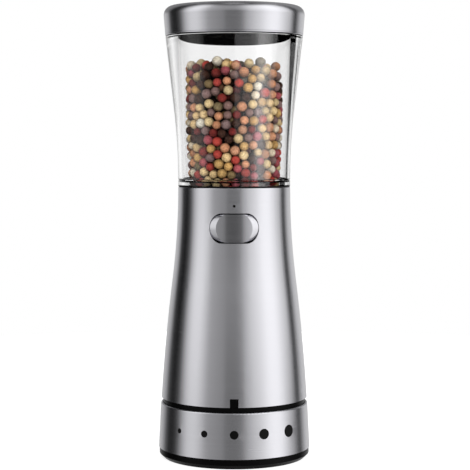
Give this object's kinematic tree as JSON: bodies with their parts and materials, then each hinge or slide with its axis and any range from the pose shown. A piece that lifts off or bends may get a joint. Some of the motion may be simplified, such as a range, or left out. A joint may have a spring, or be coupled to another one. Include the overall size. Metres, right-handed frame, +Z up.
{
  "type": "electric pepper mill",
  "caption": "Electric pepper mill with a flared brushed steel body and push button, a clear peppercorn container under a lift-off lid, and a grind adjuster over a black foot.",
  "frame": {"origin": "centre of the foot's underside, on the mill's axis", "axes": "+Z up along the mill's axis, -Y out of the button's face, +X to the right seen from the front"},
  "size_m": [0.0678, 0.0678, 0.201],
  "materials": {
    "steel": "fine horizontal brushing",
    "gloss_black": "polished",
    "matte_black": "moulded",
    "clear": "clear and polished",
    "seal": "soft",
    "fastener": "plated",
    "motor_steel": "plated",
    "brass": "bare",
    "nylon": "moulded",
    "burr_ceramic": "unglazed",
    "magnet": "sintered",
    "core": "stamped sheets",
    "board": "solder mask",
    "lamp": "moulded",
    "lead": "insulated",
    "cell": "wrapped"
  },
  "bodies": {
    "body": {"body_shell": "steel", "neck_ring": "matte_black", "container_seal": "seal", "index_collar": "gloss_black", "throat_funnel": "matte_black", "chassis": "matte_black", "chassis_screws": "fastener", "hopper": "matte_black", "battery_cover": "matte_black", "battery_contacts": "brass", "wiring": "lead", "circuit_board": "board", "board_screws": "fastener", "switch_body": "matte_black", "button_springs": "fastener", "indicator_led": "lamp", "light_pipe": "clear", "motor_can": "motor_steel", "motor_plate": "motor_steel", "motor_screws": "fastener", "motor_bushes": "brass", "motor_end_bell": "matte_black", "motor_terminals": "brass", "motor_magnets": "magnet", "gearbox_case": "nylon", "output_bush": "brass", "cell_1": "cell", "cell_2": "cell", "cell_3": "cell"},
    "container": {"container": "clear", "container_ring": "clear"},
    "lid": {"lid_cap": "steel", "lid_liner": "gloss_black", "lid_seal": "seal"},
    "button": {"button_cap": "steel", "switch_plunger": "matte_black"},
    "adjuster": {"adjuster_sleeve": "steel", "setting_dots": "gloss_black", "adjuster_core": "matte_black", "retaining_ring": "fastener", "foot_ring": "gloss_black"},
    "burr_carrier": {"burr_ring": "burr_ceramic", "burr_holder": "matte_black"},
    "motor_rotor": {"motor_shaft": "fastener", "armature": "core", "commutator": "brass", "motor_pinion": "brass"},
    "first_stage": {"first_carrier": "nylon"},
    "grinder_drive": {"output_carrier": "nylon", "drive_shaft": "fastener", "burr_cone": "burr_ceramic", "burr_spring": "fastener", "burr_washer": "fastener", "burr_screw": "fastener"},
    "first_planet_1": {"first_planet_1": "nylon"},
    "first_planet_2": {"first_planet_2": "nylon"},
    "first_planet_3": {"first_planet_3": "nylon"},
    "second_planet_1": {"second_planet_1": "nylon"},
    "second_planet_2": {"second_planet_2": "nylon"},
    "second_planet_3": {"second_planet_3": "nylon"}
  },
  "joints": [
    {"name": "container_twist", "type": "hinge", "parent": "body", "child": "container", "pos_m": [0, 0, 0], "axis": [0, 0, 1], "range_deg": [0, 30]},
    {"name": "lid_lift", "type": "slide", "parent": "container", "child": "lid", "axis": [0, 0, 1], "range_m": [0, 0.04]},
    {"name": "button_press", "type": "slide", "parent": "body", "child": "button", "axis": [0, 1, 0], "range_m": [0, 0.0008], "stiffness_N_per_m": 600, "springref_m": -0.0015, "deforming": ["button_springs"]},
    {"name": "adjuster_turn", "type": "hinge", "parent": "body", "child": "adjuster", "pos_m": [0, 0, 0], "axis": [0, 0, 1], "range_deg": [-45.6, 45.6]},
    {"name": "burr_lift", "type": "slide", "parent": "body", "child": "burr_carrier", "axis": [0, 0, 1], "range_m": [-0.00032, 0.00032]},
    {"name": "grinder_spin", "type": "hinge", "parent": "body", "child": "grinder_drive", "pos_m": [0, 0, 0], "axis": [0, 0, 1], "continuous": true},
    {"name": "first_stage_spin", "type": "hinge", "parent": "body", "child": "first_stage", "pos_m": [0, 0, 0], "axis": [0, 0, 1], "continuous": true},
    {"name": "motor_spin", "type": "hinge", "parent": "body", "child": "motor_rotor", "pos_m": [0, 0, 0], "axis": [0, 0, 1], "continuous": true},
    {"name": "first_planet_1_spin", "type": "hinge", "parent": "first_stage", "child": "first_planet_1", "pos_m": [0.00675, 0, 0], "axis": [0, 0, 1], "continuous": true},
    {"name": "first_planet_2_spin", "type": "hinge", "parent": "first_stage", "child": "first_planet_2", "pos_m": [-0.00337, 0.00585, 0], "axis": [0, 0, 1], "continuous": true},
    {"name": "first_planet_3_spin", "type": "hinge", "parent": "first_stage", "child": "first_planet_3", "pos_m": [-0.00337, -0.00585, 0], "axis": [0, 0, 1], "continuous": true},
    {"name": "second_planet_1_spin", "type": "hinge", "parent": "grinder_drive", "child": "second_planet_1", "pos_m": [0.00675, 0, 0], "axis": [0, 0, 1], "continuous": true},
    {"name": "second_planet_2_spin", "type": "hinge", "parent": "grinder_drive", "child": "second_planet_2", "pos_m": [-0.00337, 0.00585, 0], "axis": [0, 0, 1], "continuous": true},
    {"name": "second_planet_3_spin", "type": "hinge", "parent": "grinder_drive", "child": "second_planet_3", "pos_m": [-0.00337, -0.00585, 0], "axis": [0, 0, 1], "continuous": true}
  ],
  "couplings": [
    {"joint": "burr_lift", "follows": "adjuster_turn", "m_per_rad": -0.00039789},
    {"joint": "first_stage_spin", "follows": "grinder_spin", "ratio": 4.5},
    {"joint": "motor_spin", "follows": "grinder_spin", "ratio": 20.25},
    {"joint": "first_planet_1_spin", "follows": "grinder_spin", "ratio": -12.6},
    {"joint": "first_planet_2_spin", "follows": "grinder_spin", "ratio": -12.6},
    {"joint": "first_planet_3_spin", "follows": "grinder_spin", "ratio": -12.6},
    {"joint": "second_planet_1_spin", "follows": "grinder_spin", "ratio": -2.8},
    {"joint": "second_planet_2_spin", "follows": "grinder_spin", "ratio": -2.8},
    {"joint": "second_planet_3_spin", "follows": "grinder_spin", "ratio": -2.8}
  ]
}
